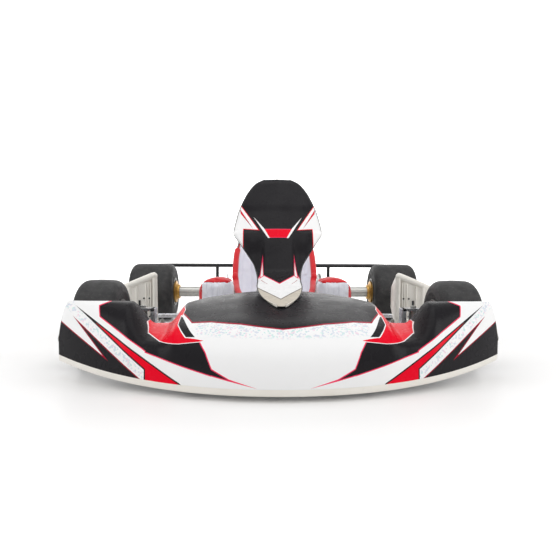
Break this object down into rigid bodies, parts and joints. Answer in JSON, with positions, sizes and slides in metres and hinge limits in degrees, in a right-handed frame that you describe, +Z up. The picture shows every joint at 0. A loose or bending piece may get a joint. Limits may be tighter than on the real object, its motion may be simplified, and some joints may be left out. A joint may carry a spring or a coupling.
{
  "type": "kart chassis",
  "caption": "Rolling kart chassis with tube frame, front fairing and panel, side pods, bucket seat, steering, pedals, rear axle, brake, bumpers and wheels, without an engine.",
  "frame": {"origin": "on the ground, in the middle of the kart's overall length and width", "axes": "the kart faces -Y, +X is the driver's left, +Z is up"},
  "size_m": [1.4, 1.75, 0.604],
  "materials": {
    "frame_steel": "satin powder coat",
    "bumper_black": "gloss black powder coat",
    "tray_aluminium": "mill finish",
    "machined_aluminium": "machined",
    "zinc_steel": "zinc plated",
    "livery": "gloss white, black and red sheets over white plastic",
    "pod_plastic": "satin moulded",
    "seat_laminate": "gloss laminate",
    "seat_cover": "stitched pale lavender with red edge bands",
    "tank_plastic": "natural blow-moulded",
    "cap_red": "gloss",
    "nylon": "satin",
    "black_casting": "satin black",
    "gold_magnesium": "satin gold",
    "rim_magnesium": "satin grey",
    "tyre": "matte",
    "wheel_grip": "suede",
    "disc_iron": "ground faces",
    "pad_lining": "sintered"
  },
  "bodies": {
    "chassis": {"frame_rail_left": "frame_steel", "frame_rail_right": "frame_steel", "front_cross_member": "frame_steel", "seat_cross_member": "frame_steel", "rear_cross_member": "frame_steel", "kingpin_yokes": "frame_steel", "seat_struts": "frame_steel", "bearing_carriers": "machined_aluminium", "axle_bearings": "zinc_steel", "floor_tray": "tray_aluminium", "front_bumper": "frame_steel", "side_bumper_left": "frame_steel", "side_bumper_right": "frame_steel", "rear_bumper": "bumper_black", "front_fairing": "livery", "fairing_brackets": "black_casting", "front_panel": "livery", "front_panel_bracket": "bumper_black", "side_pod_left": "pod_plastic", "side_pod_right": "pod_plastic", "seat_shell": "seat_laminate", "seat_liner": "seat_cover", "seat_bolster_left": "seat_cover", "seat_bolster_right": "seat_cover", "fuel_tank": "tank_plastic", "fuel_cap": "cap_red", "steering_support": "bumper_black", "steering_bush": "nylon", "master_cylinder": "black_casting", "brake_caliper": "black_casting", "pedal_pins": "zinc_steel", "heel_rest": "frame_steel", "kingpin_bolts": "zinc_steel", "seat_bolts": "zinc_steel"},
    "steering": {"steering_wheel": "wheel_grip", "wheel_boss": "machined_aluminium", "steering_column": "zinc_steel"},
    "left_spindle": {"spindle_left": "zinc_steel"},
    "right_spindle": {"spindle_right": "zinc_steel"},
    "left_tie_rod": {"tie_rod_left": "machined_aluminium"},
    "right_tie_rod": {"tie_rod_right": "machined_aluminium"},
    "left_front_wheel": {"front_hub_left": "gold_magnesium", "front_rim_left": "rim_magnesium", "front_tyre_left": "tyre"},
    "right_front_wheel": {"front_hub_right": "gold_magnesium", "front_rim_right": "rim_magnesium", "front_tyre_right": "tyre"},
    "axle": {"rear_axle": "zinc_steel", "rear_hubs": "gold_magnesium", "rear_rim_left": "rim_magnesium", "rear_rim_right": "rim_magnesium", "rear_tyre_left": "tyre", "rear_tyre_right": "tyre", "brake_disc": "disc_iron", "sprocket": "machined_aluminium"},
    "brake_lever": {"brake_pedal": "machined_aluminium"},
    "brake_link": {"brake_rod": "zinc_steel"},
    "inner_pad": {"brake_pad_inner": "pad_lining"},
    "outer_pad": {"brake_pad_outer": "pad_lining"},
    "throttle_lever": {"throttle_pedal": "machined_aluminium"}
  },
  "joints": [
    {"name": "steer", "type": "hinge", "parent": "chassis", "child": "steering", "pos_m": [0, -0.42, 0.08], "axis": [0, 0.7654, 0.6436], "range_deg": [-45, 45]},
    {"name": "steer_left", "type": "hinge", "parent": "chassis", "child": "left_spindle", "pos_m": [0.418, -0.43, 0.129], "axis": [0, 0, 1], "range_deg": [-18, 18]},
    {"name": "steer_right", "type": "hinge", "parent": "chassis", "child": "right_spindle", "pos_m": [-0.418, -0.43, 0.129], "axis": [0, 0, 1], "range_deg": [-18, 18]},
    {"name": "tie_left", "type": "hinge", "parent": "left_spindle", "child": "left_tie_rod", "pos_m": [0.378, -0.33, 0.1075], "axis": [0, 0, 1], "range_deg": [-18, 18]},
    {"name": "tie_right", "type": "hinge", "parent": "right_spindle", "child": "right_tie_rod", "pos_m": [-0.378, -0.33, 0.1075], "axis": [0, 0, 1], "range_deg": [-18, 18]},
    {"name": "roll_front_left", "type": "hinge", "parent": "left_spindle", "child": "left_front_wheel", "pos_m": [0.54, -0.43, 0.129], "axis": [1, 0, 0], "continuous": true},
    {"name": "roll_front_right", "type": "hinge", "parent": "right_spindle", "child": "right_front_wheel", "pos_m": [-0.54, -0.43, 0.129], "axis": [1, 0, 0], "continuous": true},
    {"name": "roll_rear", "type": "hinge", "parent": "chassis", "child": "axle", "pos_m": [0, 0.62, 0.14], "axis": [1, 0, 0], "continuous": true},
    {"name": "brake", "type": "hinge", "parent": "chassis", "child": "brake_lever", "pos_m": [0.16, -0.595, 0.05], "axis": [1, 0, 0], "range_deg": [0, 12], "stiffness_Nm_per_rad": 8, "springref_deg": -8.59},
    {"name": "brake_pull", "type": "slide", "parent": "chassis", "child": "brake_link", "axis": [0, -0.9968, 0.0805], "range_m": [0, 0.0105]},
    {"name": "pad_close_inner", "type": "slide", "parent": "chassis", "child": "inner_pad", "axis": [1, 0, 0], "range_m": [0, 0.00075]},
    {"name": "pad_close_outer", "type": "slide", "parent": "chassis", "child": "outer_pad", "axis": [-1, 0, 0], "range_m": [0, 0.00075]},
    {"name": "throttle", "type": "hinge", "parent": "chassis", "child": "throttle_lever", "pos_m": [-0.16, -0.595, 0.05], "axis": [1, 0, 0], "range_deg": [0, 18], "stiffness_Nm_per_rad": 3, "springref_deg": -8.59}
  ],
  "couplings": [
    {"joint": "steer_left", "follows": "steer", "ratio": 0.4},
    {"joint": "steer_right", "follows": "steer", "ratio": 0.4},
    {"joint": "tie_left", "follows": "steer", "ratio": -0.4},
    {"joint": "tie_right", "follows": "steer", "ratio": -0.4},
    {"joint": "brake_pull", "follows": "brake", "m_per_rad": 0.0496},
    {"joint": "pad_close_inner", "follows": "brake", "m_per_rad": 0.0035},
    {"joint": "pad_close_outer", "follows": "brake", "m_per_rad": 0.0035}
  ]
}
